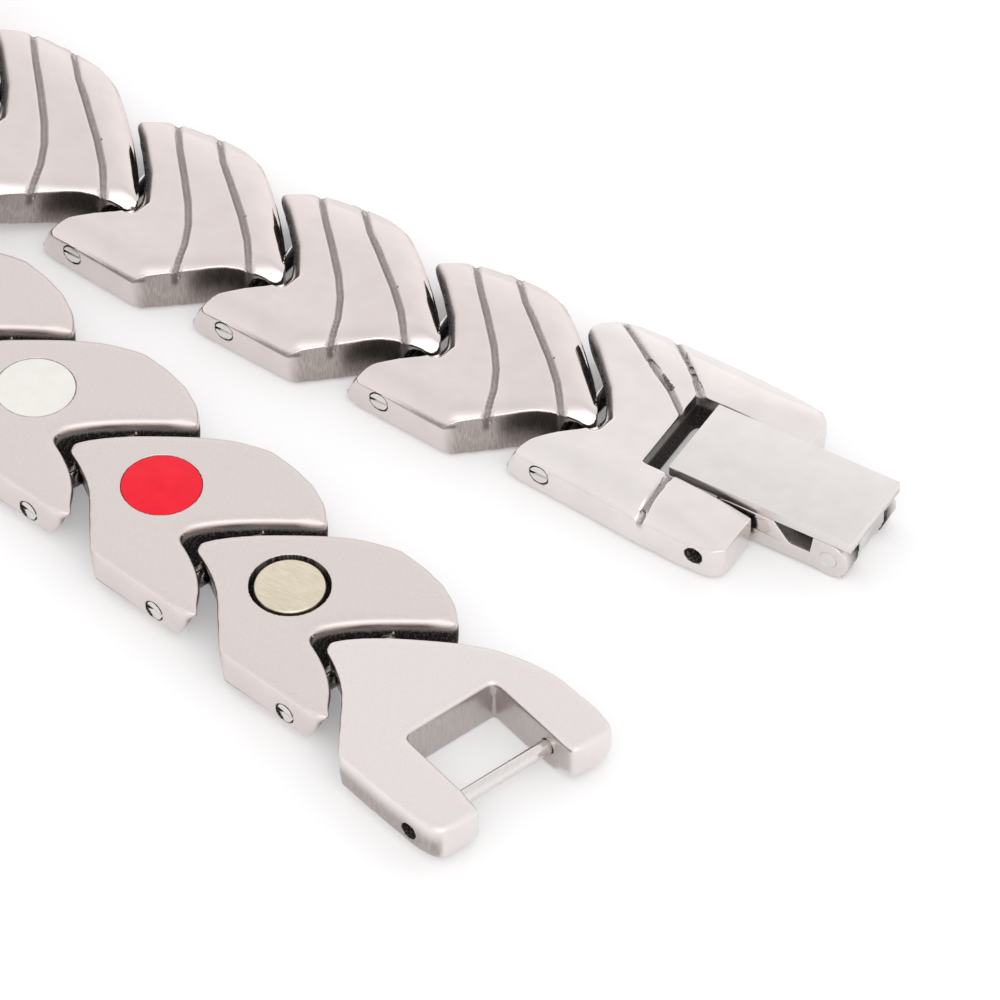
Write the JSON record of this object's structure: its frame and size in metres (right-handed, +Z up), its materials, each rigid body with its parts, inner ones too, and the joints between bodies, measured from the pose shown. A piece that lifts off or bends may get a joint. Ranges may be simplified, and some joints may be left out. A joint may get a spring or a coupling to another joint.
{
  "type": "power bracelet",
  "caption": "Open steel link bracelet of pointed chevron links with discs set in the back, a fork end with a bar and a fold-over clasp.",
  "frame": {"origin": "on the table, below the middle of the whole lying bracelet", "axes": "+X along the clasp end towards the open clasp, +Y along the clasp's hinge pins, +Z up from the table"},
  "size_m": [0.1128, 0.0472, 0.0277],
  "materials": {
    "steel": "polished outside, satin inside, dark in the grooves",
    "satin_steel": "fine satin",
    "polished_pin": "polished",
    "white_disc": "glossy white",
    "red_disc": "glossy red",
    "champagne_disc": "champagne, satin"
  },
  "bodies": {
    "band": {"clasp_link": "steel", "link_01": "steel", "link_02": "steel", "link_03": "steel", "link_04": "steel", "link_05": "steel", "link_06": "steel", "link_07": "steel", "link_08": "steel", "link_09": "steel", "link_10": "steel", "link_11": "steel", "link_12": "steel", "link_13": "steel", "link_14": "steel", "link_15": "steel", "link_16": "steel", "link_17": "steel", "link_18": "steel", "fork_link": "steel", "fork_bar": "polished_pin", "disc_01": "white_disc", "disc_02": "red_disc", "disc_03": "champagne_disc", "disc_04": "white_disc", "disc_05": "red_disc", "disc_06": "champagne_disc", "disc_07": "white_disc", "disc_08": "red_disc", "disc_09": "champagne_disc", "disc_10": "white_disc", "disc_11": "red_disc", "disc_12": "champagne_disc", "disc_13": "white_disc", "disc_14": "red_disc", "disc_15": "champagne_disc", "disc_16": "white_disc", "disc_17": "red_disc", "disc_18": "champagne_disc", "hinge_pin_01": "polished_pin", "hinge_pin_02": "polished_pin", "hinge_pin_03": "polished_pin", "hinge_pin_04": "polished_pin", "hinge_pin_16": "polished_pin", "hinge_pin_17": "polished_pin", "hinge_pin_18": "polished_pin", "hinge_pin_19": "polished_pin", "loop_hinge_pins": "polished_pin", "clasp_pin": "polished_pin"},
    "clasp_lever": {"clasp_base": "steel", "cover_rivet": "polished_pin"},
    "clasp_lid": {"clasp_cover": "satin_steel"}
  },
  "joints": [
    {"name": "clasp_swing", "type": "hinge", "parent": "band", "child": "clasp_lever", "pos_m": [0.04788, 0.01163, 0.0017], "axis": [0, -1, 0], "range_deg": [-30, 60]},
    {"name": "cover_open", "type": "hinge", "parent": "clasp_lever", "child": "clasp_lid", "pos_m": [0.05488, 0.01163, 0.00139], "axis": [0, 1, 0], "range_deg": [0, 110]}
  ]
}
